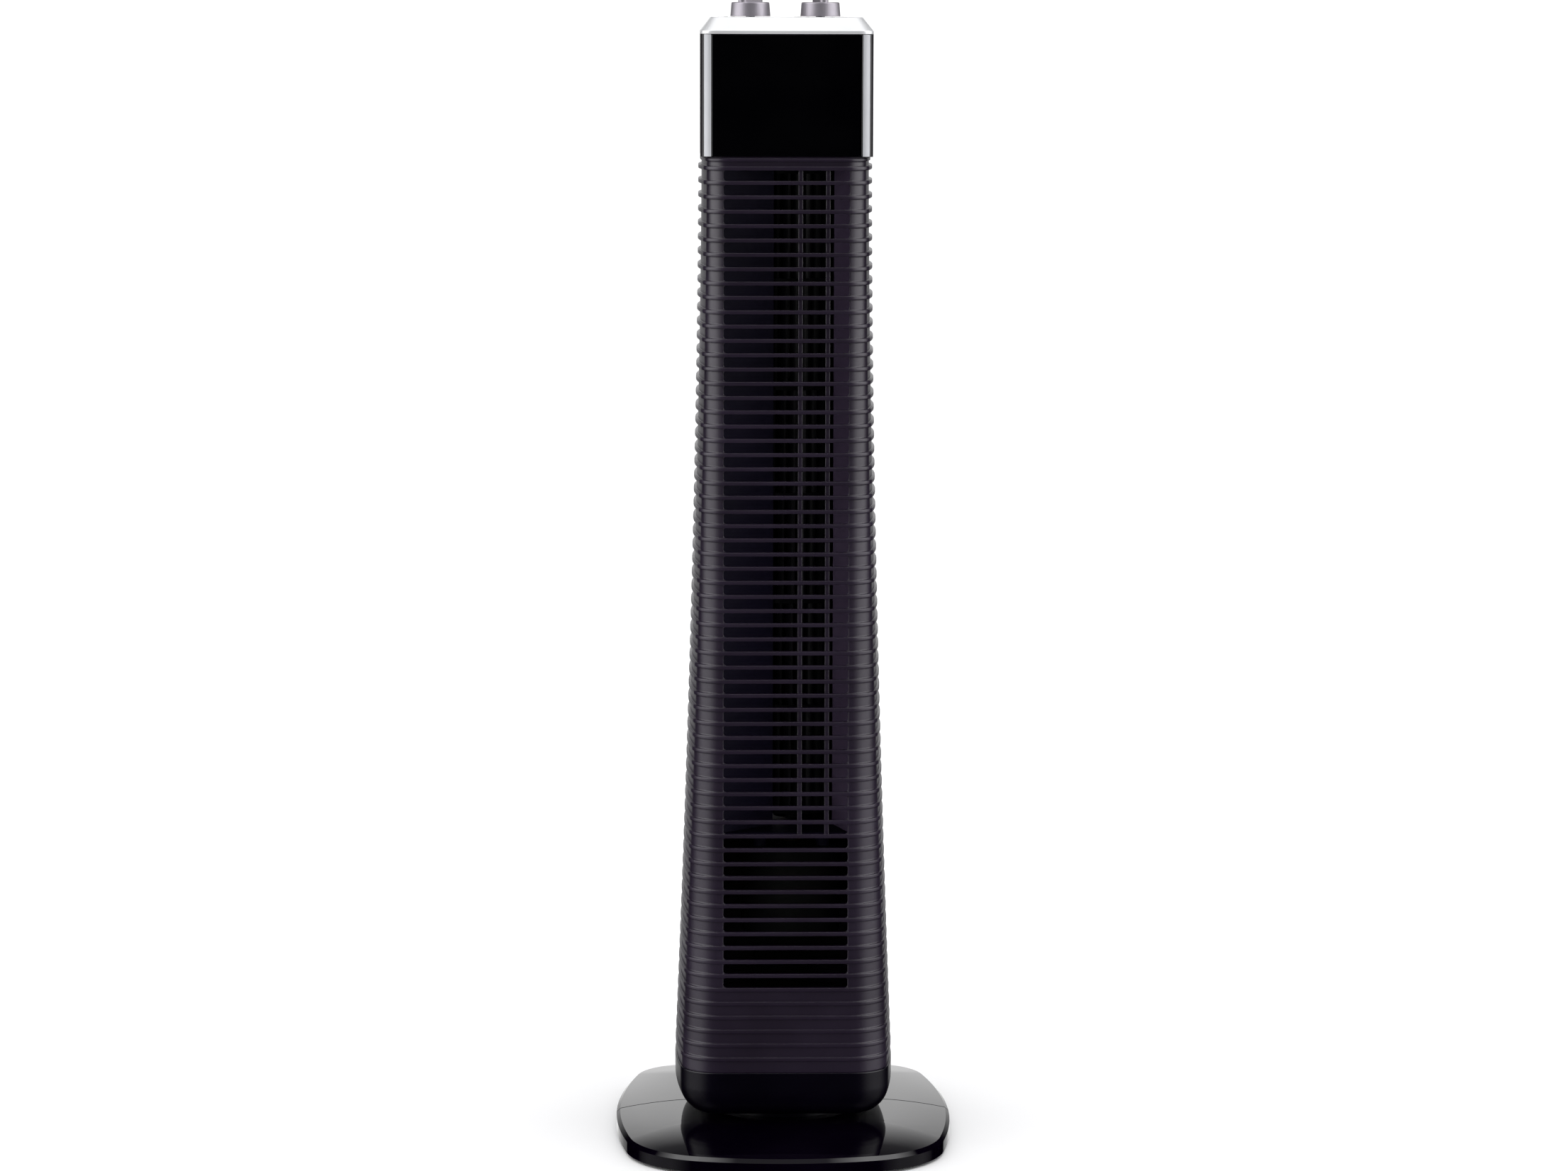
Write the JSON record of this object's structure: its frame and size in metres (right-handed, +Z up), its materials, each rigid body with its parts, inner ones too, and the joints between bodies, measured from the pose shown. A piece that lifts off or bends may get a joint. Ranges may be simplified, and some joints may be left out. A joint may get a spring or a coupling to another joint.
{
  "type": "tower fan",
  "caption": "Tower fan: ribbed flared tower with horizontal outlet slots, silver bevelled top with two knobs, glossy black base, swivelling on its base with a cross-flow impeller inside.",
  "frame": {"origin": "on the floor, at the centre of the base and on the oscillation axis", "axes": "+Z up along the oscillation axis, -Y the way the air blows, +X to the right as seen from the front"},
  "size_m": [0.231, 0.2816, 0.7839],
  "materials": {
    "base_gloss": "high-gloss black",
    "skirt_black": "semi-gloss near black",
    "housing_plastic": "satin dark plum grey",
    "cap_plastic": "satin dark grey",
    "panel_gloss": "mirror-gloss black",
    "silver_paint": "silver paint on plastic",
    "plate_silver": "bright silver paint on plastic",
    "knob_silver": "satin silver grey",
    "rubber": "matte",
    "steel": "zinc plated",
    "impeller_plastic": "satin black",
    "inner_plastic": "matte dark",
    "bearing_metal": "sintered bronze",
    "nylon": "natural nylon",
    "copper": "enamelled copper wire",
    "laminated_steel": "stamped electrical steel",
    "capacitor_case": "white case",
    "aluminium": "die cast"
  },
  "bodies": {
    "base": {"base_front": "base_gloss", "base_rear": "base_gloss", "rubber_feet": "rubber", "cord_gland": "rubber", "base_screws": "steel", "pivot_hub": "skirt_black", "pivot_washer": "steel", "pivot_nut": "nylon", "swing_arm": "nylon"},
    "tower": {"pivot_bush": "nylon", "lower_skirt": "skirt_black", "swing_motor": "aluminium", "swing_motor_screws": "steel", "front_housing": "housing_plastic", "rear_housing": "housing_plastic", "rear_screws": "steel", "bearing_plate": "inner_plastic", "motor_plate": "inner_plastic", "stabiliser": "inner_plastic", "volute": "inner_plastic", "bearing_rubber": "rubber", "top_bearing": "bearing_metal", "motor_stator": "laminated_steel", "motor_windings": "copper", "motor_upper_shield": "aluminium", "motor_lower_shield": "aluminium", "motor_lower_bearing": "bearing_metal", "motor_upper_bearing": "bearing_metal", "run_capacitor": "capacitor_case", "capacitor_clip": "capacitor_case", "terminal_block": "capacitor_case", "cap_shell": "cap_plastic", "front_panel": "panel_gloss", "left_trim": "silver_paint", "right_trim": "silver_paint", "top_plate": "plate_silver", "speed_switch": "inner_plastic", "timer_body": "aluminium", "control_screws": "steel"},
    "impeller": {"impeller_segment_1": "impeller_plastic", "impeller_segment_2": "impeller_plastic", "impeller_segment_3": "impeller_plastic", "impeller_segment_4": "impeller_plastic", "impeller_segment_5": "impeller_plastic", "impeller_segment_6": "impeller_plastic", "impeller_top_disc": "impeller_plastic", "impeller_top_shaft": "steel", "impeller_hub": "rubber", "motor_shaft": "steel", "motor_rotor": "aluminium"},
    "crank": {"swing_crank": "nylon", "crank_shaft": "steel"},
    "speed_control": {"speed_knob": "knob_silver", "speed_spindle": "steel"},
    "timer_control": {"timer_knob": "knob_silver", "timer_spindle": "steel"}
  },
  "joints": [
    {"name": "oscillation", "type": "hinge", "parent": "base", "child": "tower", "pos_m": [0, 0, 0.03], "axis": [0, 0, 1], "range_deg": [-35, 35]},
    {"name": "crank_turn", "type": "hinge", "parent": "tower", "child": "crank", "pos_m": [0, 0.028, 0.045], "axis": [0, 0, 1], "range_deg": [-105.5, 105.5]},
    {"name": "impeller_spin", "type": "hinge", "parent": "tower", "child": "impeller", "pos_m": [0.005, 0.006, 0.4], "axis": [0, 0, 1], "continuous": true},
    {"name": "speed_turn", "type": "hinge", "parent": "tower", "child": "speed_control", "pos_m": [-0.0236, 0, 0.765], "axis": [0, 0, 1], "range_deg": [-135, 0]},
    {"name": "timer_turn", "type": "hinge", "parent": "tower", "child": "timer_control", "pos_m": [0.0236, 0, 0.765], "axis": [0, 0, 1], "range_deg": [-270, 30]}
  ],
  "couplings": [
    {"joint": "crank_turn", "follows": "oscillation", "ratio": -3}
  ]
}
